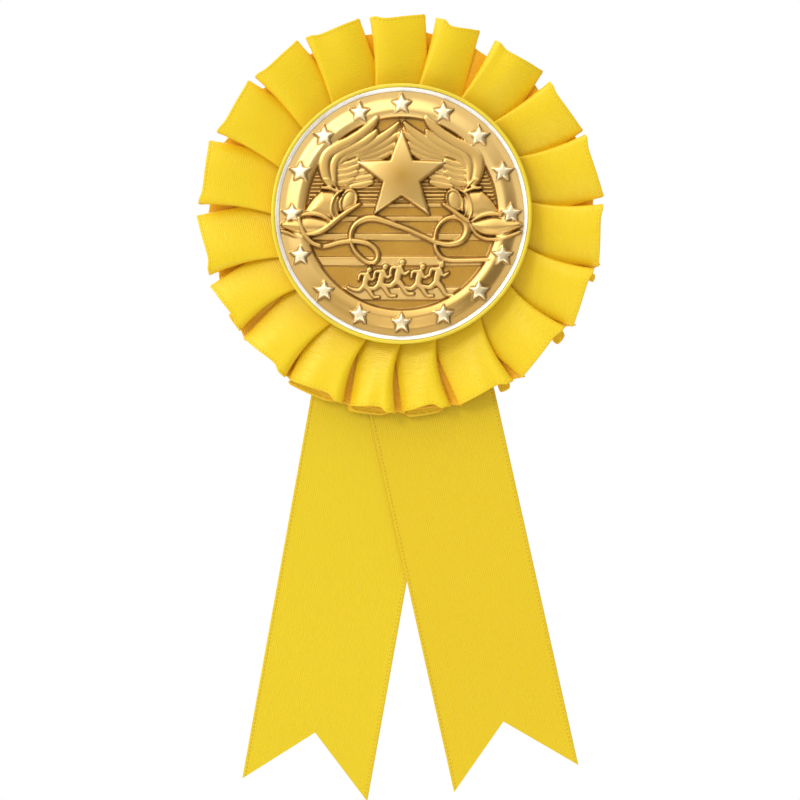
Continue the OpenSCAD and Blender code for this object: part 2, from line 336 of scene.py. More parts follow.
def gold_foil():
    """Embossed metallised foil, brown in its low fields and pale on its border, with painted shade in its
    recesses and towards the bottom of the border, and painted highlights on the stars.
    """
    s = Shader("gold_foil", Metallic=0.82, Coat_Weight=0.1, Coat_Roughness=0.2)
    hollow_shade = s.attribute("hollow_shade")
    grain = s.attribute("grain")
    tone = s.attribute("tone")
    place = s.object_place()
    cloud = s.noise(place, 260, 3.0)
    speck = s.noise(place, 3800, 2.0)
    patches = s.spread(cloud, 0.3, 0.7)
    low = s.blend_colours(patches, (0.55, 0.305, 0.046, 1), (0.5, 0.265, 0.038, 1))
    field = s.blend_colours(tone, low, (0.85, 0.575, 0.2, 1))
    # painted highlight: tones above 1.1 turn pale, which only the stars reach
    field = s.blend_colours(s.spread(tone, 1.1, 1.5), field, (0.99, 0.85, 0.55, 1))
    # painted shade: recesses and steep sides are painted dark brown
    colour = s.blend_colours(s.spread(hollow_shade, 0.53, 0.98, 0.0, 0.7), field, (0.25, 0.155, 0.055, 1))
    s.set("Base Color", colour)
    uneven = s.spread(cloud, 0.3, 0.7, 0.31, 0.38)
    s.set("Roughness", s.plus(uneven, s.times(grain, 0.12)))
    height = s.times(s.math("SUBTRACT", speck, 0.5), grain)
    s.set("Normal", s.bump(height, 0.00006, 0.8, s.bump(cloud, 0.00002, 0.3)))
    return s.material


def plated_steel(name, colour, roughness, line_scale):
    """Nickel plate: fine draw lines along X, small pits and dulled patches."""
    s = Shader(name, Metallic=1.0)
    lines = s.noise(s.object_place((0.02, 1, 1)), line_scale, 2.0)
    cloud = s.noise(s.object_place(), 420, 3.0)
    dull = (colour[0] * 0.72, colour[1] * 0.7, colour[2] * 0.66, 1)
    s.set("Base Color", s.blend_colours(s.spread(cloud, 0.45, 0.75, 0.0, 0.6), (*colour, 1), dull))
    wear = s.spread(cloud, 0.3, 0.7, roughness, roughness + 0.14)
    s.set("Roughness", s.plus(wear, s.spread(lines, 0.3, 0.7, 0.0, 0.08)))
    s.set("Normal", s.bump(lines, 0.00001, 0.5, s.bump(cloud, 0.00002, 0.25)))
    return s.material


def paper_board(name, face, fleck):
    """Chipboard: short fibres, flecks and a soft uneven surface."""
    s = Shader(name, Roughness=0.85, Specular_IOR_Level=0.25)
    fibre = s.noise(s.object_place((1, 1, 4)), 900, 4.0, 0.65)
    flecks = s.spread(s.noise(s.object_place(), 1900, 1.0), 0.64, 0.72)
    cloud = s.noise(s.object_place(), 90, 3.0)
    tone = s.plus(s.times(flecks, 0.5), s.spread(cloud, 0.3, 0.7, 0.0, 0.3))
    s.set("Base Color", s.blend_colours(tone, (*face, 1), (*fleck, 1)))
    s.set("Roughness", s.spread(fibre, 0.3, 0.7, 0.78, 0.92))
    s.set("Normal", s.bump(fibre, 0.00008, 0.5))
    return s.material


def moulded(name, colour, roughness, bump_scale, coat=0.0, metal=0.0, peel_depth=0.00004):
    """Moulded plastic, foam or glue: a soft orange-peel surface with faint colour drift."""
    s = Shader(name, Coat_Weight=coat, Coat_Roughness=0.15, Metallic=metal)
    peel = s.noise(s.object_place(), bump_scale, 2.0)
    cloud = s.noise(s.object_place(), 150, 2.0)
    deep = (colour[0] * 0.86, colour[1] * 0.8, colour[2] * 0.72, 1)
    s.set("Base Color", s.blend_colours(s.spread(cloud, 0.35, 0.75, 0.0, 0.6), (*colour, 1), deep))
    s.set("Roughness", s.spread(peel, 0.3, 0.7, roughness - 0.04, roughness + 0.06))
    s.set("Normal", s.bump(peel, peel_depth, 0.4))
    return s.material


def thread_cloth():
    """Twisted thread, with painted shade between its turns."""
    s = Shader("thread", Roughness=0.7, Sheen_Weight=0.4)
    twist = s.node("TexWave", bands_direction="DIAGONAL")
    s.put(twist.inputs["Vector"], s.object_place())
    twist.inputs["Scale"].default_value = 900
    # painted shade: the colour darkens between the turns of the twist
    s.set("Base Color", s.blend_colours(twist.outputs["Fac"], (0.8, 0.6, 0.08, 1), (0.6, 0.42, 0.04, 1)))
    s.set("Normal", s.bump(twist.outputs["Fac"], 0.00005, 0.6))
    return s.material


# ---------------- mesh helpers

# A length that counts as nothing and one that is out of reach, in millimetres
TINY = 1e-12
FAR = 1e9


def add_mesh(name, verts_mm, faces, material, values=None):
    """A smooth mesh object from points in millimetres. values holds named attributes of the points."""
    mesh = bpy.data.meshes.new(name)
    mesh.from_pydata((np.asarray(verts_mm, float) * MM).tolist(), [], faces)
    mesh.polygons.foreach_set("use_smooth", [True] * len(mesh.polygons))
    for key, array in (values or {}).items():
        array = np.asarray(array, np.float32)
        if array.ndim == 2:
            mesh.attributes.new(key, "FLOAT_VECTOR", "POINT").data.foreach_set("vector", array.ravel())
        else:
            mesh.attributes.new(key, "FLOAT", "POINT").data.foreach_set("value", array)
    mesh.materials.append(material)
    mesh.update()
    return add_object(name, mesh)


def grid_quads(rows, columns, start=0):
    """Quads over a grid of points that are numbered row by row from start."""
    index = start + np.arange(rows * columns).reshape(rows, columns)
    return np.stack([index[:-1, :-1], index[1:, :-1], index[1:, 1:], index[:-1, 1:]], -1).reshape(-1, 4)


def strip_quads(first, second):
    """Quads between two equal rows of point numbers."""
    return np.stack([first[:-1], first[1:], second[1:], second[:-1]], -1)


def smoothstep(x):
    x = np.clip(x, 0, 1)
    return x * x * (3 - 2 * x)


def catmull_rom(a, b, c, d, t):
    """The curve from b to c, with a before them and d after them, at t from 0 to 1."""
    bent = (2 * a - 5 * b + 4 * c - d) * t ** 2 + (3 * b - a - 3 * c + d) * t ** 3
    return 0.5 * (2 * b + (c - a) * t + bent)


def ribbon_piece(name, middle, cloth, thickness, material):
    """A closed sheet round a grid of middle points. thickness holds one number per column."""
    rows, columns = middle.shape[:2]
    normal = np.cross(np.gradient(middle, axis=0), np.gradient(middle, axis=1))
    normal /= np.linalg.norm(normal, axis=2, keepdims=True) + TINY
    half = normal * (np.asarray(thickness) / 2)[None, :, None]
    front = (middle + half).reshape(-1, 3)
    back = (middle - half).reshape(-1, 3)
    f = np.arange(rows * columns).reshape(rows, columns)
    b = f + rows * columns
    faces = np.concatenate([
        grid_quads(rows, columns),
        grid_quads(rows, columns, rows * columns)[:, ::-1],
        strip_quads(b[:, 0], f[:, 0]),
        strip_quads(f[:, -1], b[:, -1]),
        strip_quads(f[0], b[0]),
        strip_quads(b[-1], f[-1]),
    ])
    both = np.concatenate([cloth.reshape(-1, 3)] * 2)
    piece = add_mesh(name, np.concatenate([front, back]), faces.tolist(), material, {"cloth": both})
    # the cut ends stay crisp
    piece.data.set_sharp_from_angle(angle=math.radians(55))
    return piece


def across_stations():
    """Places across the ribbon from 0 to 1, close together at the two selvedges."""
    edge = np.array([0, 0.12, 0.28, 0.5, 0.85, 1.4]) / RIBBON_W
    middle = np.linspace(edge[-1], 1 - edge[-1], 24)[1:-1]
    return np.concatenate([edge, middle, 1 - edge[::-1]])


def selvedge_thickness(stations):
    """The woven edge is a little thicker than the satin, and round at its very end."""
    edge = np.minimum(stations, 1 - stations) * RIBBON_W
    bead = 0.1 * np.exp(-((edge - 0.3) / 0.2) ** 2)
    return RIBBON_T + bead - 0.14 * np.exp(-(edge / 0.09) ** 2)


# ---------------- pleated ribbon

# Folded by hand, so no two pleats agree. Clockwise from the top, each row holds where the upper fold and
# then the crease meet the rim (degrees, mm), how far the tucked cloth before the pleat is drawn in at the
# rim (a negative number shows below the rim), how deep it is tucked, and how widely the fold opens (mm).
PLEATS = [
    (10.1, 39.7, 22.9, 39.9, 3.2, 0.9, 1.90), (28.4, 39.3, 44.5, 40.1, 3.4, 1.0, 1.30),
    (48.3, 39.6, 65.0, 39.8, 2.7, 1.2, 1.00), (66.7, 39.9, 84.7, 40.4, 1.8, 1.2, 0.90),
    (87.3, 40.1, 104.6, 40.6, 1.9, 1.5, 0.90), (106.0, 39.8, 123.0, 40.8, -0.7, 1.8, 1.00),
    (124.6, 39.5, 143.4, 40.4, -1.1, 3.0, 1.10), (146.2, 39.9, 163.0, 39.7, -1.0, 2.6, 1.45),
    (165.7, 39.4, 179.6, 39.5, -0.9, 8.0, 2.05), (181.9, 39.6, 195.0, 39.6, -0.8, 8.5, 1.85),
    (197.4, 39.5, 214.2, 39.8, -0.8, 10.5, 1.75), (215.8, 39.9, 231.8, 40.0, 0.2, 1.5, 1.65),
    (234.4, 39.7, 249.3, 40.7, -0.1, 3.2, 1.35), (252.6, 40.1, 269.5, 40.8, 1.9, 1.2, 1.35),
    (273.0, 40.4, 290.9, 41.0, 2.1, 1.2, 0.90), (294.1, 40.2, 311.1, 40.5, 2.4, 1.1, 0.90),
    (313.3, 40.0, 328.9, 40.4, 2.8, 0.9, 1.00), (331.6, 39.9, 347.6, 39.9, 3.2, 0.9, 1.10),
    (351.0, 39.7, 366.5, 40.1, 3.2, 0.9, 1.20),
]
ROWS_PER_STEP = 3
# The rows of a pleat: round its fold (degrees), then over its panel (shares of the panel's width)
FOLD_TURNS = [262, 235, 208, 180, 150, 120, 90]
PANEL_SHARES = [0.14, 0.28, 0.42, 0.56, 0.7, 0.82, 0.92, 1.0]
# How much painted shade the rows get for lying deep in a fold: round the fold, at the panel's end and in
# the tucked cloth
FOLD_ROW_SHADE = [1.0, 1.0, 0.9, 0.7, 0.4, 0.1, 0.0]
CREASE_ROW_SHADE = [0.15, 0.5]
TUCK_ROW_SHADE = [1.0, 1.0, 1.0, 0.5, 0.5, 1.0, 1.0]
# Where the pleats start to open, just inside the medallion's edge, as a share of the way from the hub to
# the rim, and how high their crown and crease stand there and how wide their fold is (mm)
HUB_SHARE = 0.36
HUB_CROWN = 2.55
HUB_CREASE = 0.45
HUB_ROLL = 0.3
# The least height of the tucked cloth above the card, and how far from the fold the rim dips most (mm)
FLOOR_HEIGHT = 0.32
DIP_AT = 2.4


def rim_point(angle, radius):
    angle = math.radians(angle)
    return np.array([radius * math.sin(angle), radius * math.cos(angle)])


class Pleat:
    """One pleat: its own frame has u across it from the upper fold and w inwards from its selvedge."""

    def __init__(self, sizes, rng):
        fold_angle, fold_r, crease_angle, crease_r, self.drawn, self.tuck, self.roll = sizes
        self.fold = rim_point(fold_angle, fold_r)
        side = rim_point(crease_angle, crease_r) - self.fold
        self.width = float(np.hypot(*side))
        self.across = side / self.width
        self.inward = np.array([self.across[1], -self.across[0]])
        if self.inward @ self.fold > 0:
            self.inward = -self.inward
        self.crown = rng.uniform(3.7, 4.5)
        self.shoulder = rng.uniform(1.5, 2.3)
        self.dip = 0.3 + 0.6 * max(self.roll - 1, 0)
        self.wave = rng.uniform(-0.28, 0.28)
        self.phase = rng.uniform(0, 1)
        self.bow = 0.95 - 0.5 * math.cos(math.radians(fold_angle)) + rng.uniform(-0.15, 0.15)

    def at(self, u, w, height):
        """Points in the shared frame, in millimetres, from a place in the pleat's own frame."""
        x = self.fold[0] + u * self.across[0] + w * self.inward[0]
        z = self.fold[1] + u * self.across[1] + w * self.inward[1]
        return np.stack(np.broadcast_arrays(x, -(PLEAT_BACK + height), z + CENTRE_Z), -1)

    def u_of(self, points):
        x = points[..., 0] - self.fold[0]
        z = points[..., 2] - CENTRE_Z - self.fold[1]
        return x * self.across[0] + z * self.across[1]

    def heights(self, v):
        """The crown's and crease's heights and the fold's width, from the hub (0) to the rim (1)."""
        open_rim = smoothstep((v - HUB_SHARE) / (1 - HUB_SHARE))
        crown = HUB_CROWN + (self.crown - HUB_CROWN) * open_rim
        crease = HUB_CREASE + (self.shoulder - HUB_CREASE) * open_rim ** 1.5
        roll = HUB_ROLL + (self.roll - HUB_ROLL) * smoothstep((v - 0.3) / 0.75) ** 1.2
        return crown, crease, roll

    def bowed(self, v):
        """How far the fold's line bows sideways between the hub and the rim."""
        return self.bow * np.sin(math.pi * np.clip((v - 0.3) / 0.7, 0, 1))

    def fold_rows(self, v, w):
        """Round the open upper fold, from its hidden side to its crown."""
        crown, _, roll = self.heights(v)
        tall = np.minimum(roll, (crown - 0.5) / 2)
        rows = []
        for turn in np.radians(FOLD_TURNS):
            draw = max(0.0, -math.sin(turn)) ** 1.5 * max(self.drawn, 0.3) * v ** 3
            u = self.bowed(v) + roll + roll * math.cos(turn)
            rows.append(self.at(u, w + draw, crown - tall + tall * math.sin(turn)))
        return rows

    def panel_rows(self, v, w):
        """The front panel, from just past its crown to its crease."""
        crown, crease, roll = self.heights(v)
        rows = []
        power = 1.25 + 1.5 * smoothstep((v - 0.4) / 0.6)
        for s in PANEL_SHARES:
            ripple = np.sin(TAU * (s + self.phase * s * (1 - s))) * (1 - s ** 6)
            height = crease + (crown - crease) * (1 - s ** power) + self.wave * v ** 2 * ripple
            near = s * self.width / DIP_AT
            dip = self.dip * near * math.exp(1 - near) * v ** 2
            start = self.bowed(v) * (1 - s) + roll
            rows.append(self.at(start + s * (self.width - start), w + dip, height))
        return rows

    def tuck_rows(self, following, v, w, crease_row, fold_row):
        """The cloth tucked between this pleat's crease and the next pleat's fold.

        Near the rim it turns under the crease, runs along the floor under the next pleat and comes back.
        Near the hub it goes straight from the crease to the floor.
        """
        rim = smoothstep((v - 0.45) / 0.4)[:, None]
        draw = following.drawn * v ** 3
        hidden_draw = np.maximum(draw, 0.3 * v ** 3)
        _, crease, _ = self.heights(v)
        crease_draw = np.maximum(draw, 0)
        turned = self.at(self.width - 0.12 * v, w + 0.45 * crease_draw, crease - 0.5 * v)
        lower_height = np.maximum(crease - 1.0 * v, FLOOR_HEIGHT + 0.03)
        lower = self.at(self.width - 0.35 * v, w + (draw + 3 * crease_draw) / 4, lower_height)
        start = np.maximum(following.u_of(crease_row), 0) * (1 - rim[:, 0]) + 0.4
        end = start + following.tuck * v + 0.1
        floor = following.at(start, w + hidden_draw, FLOOR_HEIGHT)
        shown = following.at(start + 0.3 * following.tuck * v, w + draw, FLOOR_HEIGHT + 0.04)
        deep = following.at(end, w + draw, FLOOR_HEIGHT + 0.1)
        back = following.at(np.maximum(end - 0.5, 0.3), w + hidden_draw, 0.85)
        lower = lower * rim + (crease_row + floor) / 2 * (1 - rim)
        turned = turned * rim + (crease_row * 0.75 + floor * 0.25) * (1 - rim)
        return [turned, lower, floor, shown, deep, back, (back + fold_row) / 2]


def smooth_rows(rows, steps):
    """A smooth surface through control rows, from the first one to the last."""
    p = np.array(rows)
    p = np.concatenate([2 * p[:1] - p[1:2], p, 2 * p[-1:] - p[-2:-1]])
    t = np.linspace(0, 1, steps, endpoint=False)[:, None, None, None]
    out = catmull_rom(p[:-3], p[1:-2], p[2:-1], p[3:], t)
    out = out.transpose(1, 0, 2, 3).reshape(-1, *p.shape[1:])
    return np.concatenate([out, p[-2:-1]])


def make_pleats(material):
    """The whole rosette as one folded ribbon, pleat by pleat."""
    rng = np.random.default_rng(11)
    pleats = [Pleat(sizes, rng) for sizes in PLEATS]
    v = across_stations()
    w = (1 - v) * RIBBON_W
    folds = [pleat.fold_rows(v, w) for pleat in pleats]
    rows, folded = [], []
    for i, pleat in enumerate(pleats):
        following = (i + 1) % len(pleats)
        panel = pleat.panel_rows(v, w)
        tuck = pleat.tuck_rows(pleats[following], v, w, panel[-1], folds[following][0])
        rows += folds[i] + panel + tuck
        # folded holds how much painted fold shade each row gets
        folded += FOLD_ROW_SHADE + [0.0] * (len(panel) - len(CREASE_ROW_SHADE)) + CREASE_ROW_SHADE + TUCK_ROW_SHADE
    # painted warm shade near the hub, round the button's edge
    hub_shade = 0.45 * (1 - smoothstep((v - HUB_SHARE) / 0.3))
    folded = np.maximum(np.array(folded)[:, None], hub_shade)
    surface = smooth_rows(np.concatenate([np.array(rows), folded[..., None]], 2), ROWS_PER_STEP)
    middle = surface[..., :3]
    step = np.linalg.norm(np.diff(middle[:, len(v) // 2], axis=0), axis=1)
    along = np.concatenate([[0], np.cumsum(step)])
    cloth = np.zeros_like(middle)
    cloth[..., 0] = along[:, None]
    cloth[..., 1] = v[None, :] * RIBBON_W
    # cloth.z carries the painted fold shade to the satin
    cloth[..., 2] = np.clip(surface[..., 3], 0, 1)
    piece = ribbon_piece("pleated_satin", middle, cloth, selvedge_thickness(v), material)
    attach(piece, "rosette")
    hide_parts("pleated_ribbon")


# ---------------- tails

# How deep the swallowtail is cut, in millimetres, and the rows along a tail
NOTCH = 11.7
TAIL_ROWS = 90


def make_tail(side, wave, material):
    """One ribbon from between the cards to its swallowtail end, flat above the joint's line and gently
    waved below it.
    """
    joint = next(j for j in frame["joints"] if j["name"] == side + "_tail_lift")
    bend = Vector(joint["pos_m"]) / MM
    across = Vector(joint["axis"]).normalized()
    down = Vector((across.z, 0, -across.x))
    half = RIBBON_W / 2
    tail_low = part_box(side + "_tail")[0].z / MM
    anchor_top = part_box(side + "_tail_anchor")[1].z / MM
    reach = (bend.z - tail_low - half * abs(across.z)) / abs(down.z)
    rise = (anchor_top - bend.z - half * abs(across.z)) / abs(down.z)
    v = np.sort(np.append(across_stations(), 0.5))
    offset = (v - 0.5) * RIBBON_W
    end = reach - NOTCH * (1 - np.abs(offset) / half)
    t = np.linspace(0, 1, TAIL_ROWS)
    along = -rise + t[:, None] * (end[None, :] + rise)
    free = smoothstep(along / reach)
    lift = wave(along / reach, offset[None, :] / half) * free
    spot = np.array(bend)[None, None] + along[..., None] * np.array(down)
    spot = spot + offset[None, :, None] * np.array(across)
    spot[..., 1] -= lift
    # cloth.x counts from 200 at the bend, so it is never below 0
    cloth = np.stack([along + 200, np.broadcast_to((v * RIBBON_W)[None], along.shape), along * 0], -1)
    piece = ribbon_piece(side + "_tail_satin", spot[:, ::-1], cloth[:, ::-1],
                         selvedge_thickness(v)[::-1], material)
    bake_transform(piece)
    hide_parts(side + "_tail", side + "_tail_anchor")


# ---------------- medallion relief

def disc_grid(count):
    """Points that fill a unit disc from a square grid, evenly and with a clean round edge."""
    a, b = np.meshgrid(np.linspace(-1, 1, count), np.linspace(-1, 1, count), indexing="ij")
    wide = np.abs(a) >= np.abs(b)
    least = 1e-9
    safe_a = np.where(np.abs(a) < least, least, a)
    safe_b = np.where(np.abs(b) < least, least, b)
    radius = np.where(wide, a, b)
    angle = np.where(wide, math.pi / 4 * b / safe_a, math.pi / 2 - math.pi / 4 * a / safe_b)
    return radius * np.cos(angle), radius * np.sin(angle)


def smooth_line(points, steps=8):
    """A curve through given points, which carries every column of the points along."""
    p = np.array(points, float)
    p = np.concatenate([[2 * p[0] - p[1]], p, [2 * p[-1] - p[-2]]])
    t = np.linspace(0, 1, steps, endpoint=False)[:, None]
    parts = []
    for a, b, c, d in zip(p[:-3], p[1:-2], p[2:-1], p[3:]):
        parts.append(catmull_rom(a, b, c, d, t))
    return np.concatenate(parts + [p[-2:-1]])


def from_segment(x, z, ax, az, bx, bz):
    """How far along a segment each point's nearest place lies, from 0 to 1, and how far off it is."""
    dx, dz = bx - ax, bz - az
    t = np.clip(((x - ax) * dx + (z - az) * dz) / (dx * dx + dz * dz + TINY), 0, 1)
    return t, np.hypot(x - ax - t * dx, z - az - t * dz)


class Relief:
    """A height over a flat disc, built up shape by shape. x is right and z up from the centre, in mm."""

    def __init__(self, x, z):
        self.x, self.z = x, z
        self.h = np.zeros_like(x)

    def near(self, line, reach=0.0):
        """The points in the box round a line."""
        low, high = line.min(axis=0) - reach, line.max(axis=0) + reach
        return (self.x > low[0]) & (self.x < high[0]) & (self.z > low[1]) & (self.z < high[1])

    def tube(self, points, base, rise, flat=0.0, mirror=False):
        """A bar along a smooth line of (x, z, half width) points; flat 0 is round, 1 is a plateau."""
        line = smooth_line(points)
        if mirror:
            line = line * np.array([-1, 1, 1])
        near = self.near(line, line[:, 2].max() + 0.1)
        x, z = self.x[near], self.z[near]
        best = np.full(x.shape, FAR)
        for (ax, az, aw), (bx, bz, bw) in zip(line[:-1], line[1:]):
            t, gap = from_segment(x, z, ax, az, bx, bz)
            best = np.minimum(best, gap / (aw + t * (bw - aw)))
        inside = np.clip(1 - best, 0, 1)
        round_top = np.sqrt(1 - (1 - inside) ** 2)
        flat_top = smoothstep(inside / 0.35)
        height = base + rise * (round_top * (1 - flat) + flat_top * flat)
        now = self.h[near]
        self.h[near] = np.where(best < 1, np.maximum(now, height), now)

    def blob(self, outline, base, rise, soften, mirror=False):
        """A closed outline filled to a rounded pad; soften is how far in the rounding reaches."""
        line = smooth_line(list(outline) + [outline[0]], 5)
        if mirror:
            line = line * np.array([-1, 1])
        near = self.near(line)
        x, z = self.x[near], self.z[near]
        inside = np.zeros(x.shape, bool)
        gap = np.full(x.shape, FAR)
        for (ax, az), (bx, bz) in zip(line[:-1], line[1:]):
            dz = bz - az if abs(bz - az) > TINY else TINY
            inside ^= ((az > z) != (bz > z)) & (x < ax + (z - az) * (bx - ax) / dz)
            gap = np.minimum(gap, from_segment(x, z, ax, az, bx, bz)[1])
        k = np.clip(gap / soften, 0, 1)
        height = base + rise * np.sqrt(1 - (1 - k) ** 2)
        now = self.h[near]
        self.h[near] = np.where(inside, np.maximum(now, height), now)

    def star(self, x, z, radius, waist, base, step, rise):
        """An upright five-pointed star with bevelled sides and a gently domed face."""
        dx, dz = self.x - x, self.z - z
        angle = np.abs((np.arctan2(dx, dz) + math.pi / 5) % (TAU / 5) - math.pi / 5)
        tip = np.array([radius, 0.0])
        notch = radius * waist * np.array([math.cos(math.pi / 5), math.sin(math.pi / 5)])
        edge = notch - tip
        reach = (tip[0] * edge[1] - tip[1] * edge[0]) / (np.cos(angle) * edge[1] - np.sin(angle) * edge[0])
        share = np.hypot(dx, dz) / reach
        side = np.clip(1 - share, 0, 1) * radius * waist
        height = base + step * smoothstep(side / 0.4) + rise * (1 - (dx ** 2 + dz ** 2) / radius ** 2)
        self.h = np.where(share < 1, np.maximum(self.h, height), self.h)


# In millimetres: the floor's edge and the ring of stars (radii), the height the lanes close up to, the
# drop of the lowest lane below it and the next lane's share of that, and the large star's centre and radius
FLOOR_R = 18.8
STAR_RING_R = 21.65
STAR_R = 2.3
STAR_COUNT = 16
HORIZON = 9.5
LANE_COUNT = 6
FIRST_LANE_DROP = 25.35
LANE_RATIO = 0.745
FINE_LINE_GAP = 0.74
MAIN_STAR = (0.0, 7.4, 9.65)


def band_height(r):
    """A steep inner edge, a rounded crown, a long outer slope and a flat flange."""
    rise = 0.95 * smoothstep((r - FLOOR_R) / 0.5)
    crown = 0.5 * np.sin(math.pi / 2 * np.clip((r - FLOOR_R) / 2.2, 0, 1))
    fall = 1.05 * smoothstep((r - 20.4) / 2.7)
    return np.where(r < FLOOR_R, 0, rise + crown - fall)


# Each shape is a line of (x, z, half width) points, with how high it starts and how far it rises. They
# are drawn for the left side of the medallion and mirrored for the right side.
FEATHERS = [
    # the long outer feathers, then the inner ones that the large star covers in part
    ([(-14.1, 5.4, 0.55), (-15.05, 7.6, 0.95), (-15.3, 9.8, 1.08), (-14.6, 11.75, 1.08),
      (-12.7, 13.2, 1.0), (-10.2, 14.5, 0.95), (-7.9, 16.0, 0.92), (-6.0, 17.6, 0.85),
      (-4.95, 18.9, 0.55)], 0.95, 0.6),
    ([(-13.2, 5.8, 0.4), (-13.45, 8.4, 0.72), (-13.2, 10.3, 0.78), (-12.0, 11.8, 0.8), (-9.7, 13.0, 0.8),
      (-7.4, 14.2, 0.8), (-5.7, 15.5, 0.72), (-5.0, 16.4, 0.42)], 0.78, 0.52),
    ([(-12.4, 9.9, 0.4), (-10.6, 11.5, 0.7), (-7.6, 12.8, 0.85), (-4.6, 14.6, 0.88), (-2.1, 16.4, 0.75),
      (-0.6, 18.0, 0.35)], 0.62, 0.5),
    ([(-8.6, 11.6, 0.45), (-5.4, 12.9, 0.72), (-2.6, 14.4, 0.75), (-0.4, 15.9, 0.5)], 0.5, 0.44),
    ([(-8.4, 11.0, 0.45), (-5.2, 11.9, 0.66), (-1.4, 13.6, 0.66)], 0.4, 0.42),
    ([(-7.8, 10.7, 0.45), (-4.3, 11.1, 0.6), (-2.0, 12.2, 0.55)], 0.32, 0.4),
    ([(-13.6, 9.35, 0.45), (-11.4, 9.6, 0.6), (-8.9, 10.5, 0.5)], 0.62, 0.42),
    ([(-13.6, 8.35, 0.45), (-11.0, 8.55, 0.6), (-8.7, 9.45, 0.5)], 0.54, 0.42),
    ([(-13.4, 7.15, 0.5), (-11.0, 7.4, 0.66), (-8.9, 8.2, 0.5)], 0.46, 0.42),
    ([(-13.0, 5.95, 0.5), (-11.2, 6.1, 0.66), (-9.6, 6.8, 0.5)], 0.38, 0.4),
    ([(-8.9, 8.1, 0.4), (-7.4, 8.4, 0.5), (-6.2, 8.9, 0.4)], 0.25, 0.4),
    ([(-9.5, 6.6, 0.45), (-7.6, 7.0, 0.62), (-5.7, 7.4, 0.45)], 0.25, 0.4),
    ([(-9.9, 5.35, 0.45), (-7.9, 5.65, 0.62), (-5.9, 6.25, 0.45)], 0.2, 0.4),
]
# Outlines of (x, z) points are the wing's web, the ankle, the vamp and the tongue
WING = [(-14.9, 5.5), (-15.8, 8.5), (-15.6, 11.2), (-13.3, 13.6), (-10.5, 15.2), (-8.0, 16.8),
        (-5.2, 19.0), (-4.6, 18.0), (-5.2, 16.2), (-3.2, 16.6), (-0.5, 18.2), (-0.2, 15.5), (-2.0, 12.0),
        (-8.5, 10.4), (-6.0, 8.6), (-5.6, 7.2), (-5.8, 5.9), (-9.0, 5.0), (-12.4, 4.6)]
CUFF = [(-15.7, 5.15, 0.32), (-14.2, 5.05, 0.36), (-12.5, 4.3, 0.3)]
CUFF_TOP = [(-15.3, 6.8, 0.22), (-14.3, 6.7, 0.26), (-13.1, 5.4, 0.22), (-12.4, 4.6, 0.2)]
ANKLE = [(-15.9, 4.5), (-12.7, 4.1), (-12.2, 1.9), (-12.7, -0.6), (-14.6, -1.3), (-17.0, -0.7),
         (-19.3, -0.5), (-19.1, 0.6), (-17.6, 2.9)]
VAMP = [(-13.7, -1.6), (-15.6, -1.1), (-18.4, -0.6), (-21.2, -1.1), (-23.4, -1.6), (-23.7, -2.5),
        (-22.2, -3.4), (-19.2, -4.3), (-16.2, -4.2), (-14.2, -3.0)]
TONGUE = [(-12.0, 0.6), (-12.1, 2.3), (-11.4, 3.9), (-10.3, 4.7), (-9.2, 4.2), (-8.9, 2.9), (-9.3, 1.5),
          (-10.4, 0.5)]
SHOE_LINES = [
    # topline, tongue edge and the two strands beside it
    ([(-19.7, -0.3, 0.32), (-18.4, 0.0, 0.44), (-16.6, -0.15, 0.44), (-15.0, -0.8, 0.38),
      (-13.9, -1.5, 0.26)], 1.3, 0.6),
    ([(px, pz, 0.28) for px, pz in TONGUE], 0.95, 0.5),
    ([(-11.7, 4.6, 0.25), (-12.9, 3.8, 0.34), (-13.7, 2.2, 0.38), (-13.9, 0.4, 0.38),
      (-13.4, -0.9, 0.3)], 1.1, 0.7),
    ([(-12.5, 3.3, 0.2), (-12.9, 1.9, 0.26), (-12.8, 0.4, 0.26), (-12.4, -0.5, 0.2)], 1.0, 0.5),
]
# The lace crosses the left shoe, whose sole shows only at the toe. The right shoe shows its whole sole.
LEFT_SHOE_LINES = [
    ([(-23.7, -3.4, 0.3), (-22.4, -3.8, 0.36), (-21.0, -4.4, 0.36), (-19.6, -4.6, 0.3)], 0.9, 0.7),
    ([(-8.3, 1.9, 0.36), (-10.2, 0.75, 0.48), (-12.0, -0.5, 0.56), (-13.6, -1.8, 0.62), (-15.3, -3.1, 0.62),
      (-17.2, -3.95, 0.54), (-19.4, -4.2, 0.34)], 1.25, 0.85),
    ([(-20.3, -0.9, 0.5), (-19.8, -2.7, 0.5), (-18.9, -4.5, 0.5), (-17.6, -5.8, 0.5),
      (-16.2, -6.35, 0.52)], 1.35, 0.85),
]
RIGHT_SHOE_LINES = [
    ([(-13.6, -2.0, 0.28), (-14.5, -3.7, 0.38), (-16.1, -4.8, 0.42), (-18.3, -5.1, 0.42),
      (-20.8, -4.6, 0.4), (-23.4, -3.6, 0.32)], 0.9, 0.7),
    ([(-8.3, 1.9, 0.36), (-10.2, 0.6, 0.44), (-11.9, -0.6, 0.46), (-13.3, -1.6, 0.4)], 1.25, 0.75),
]
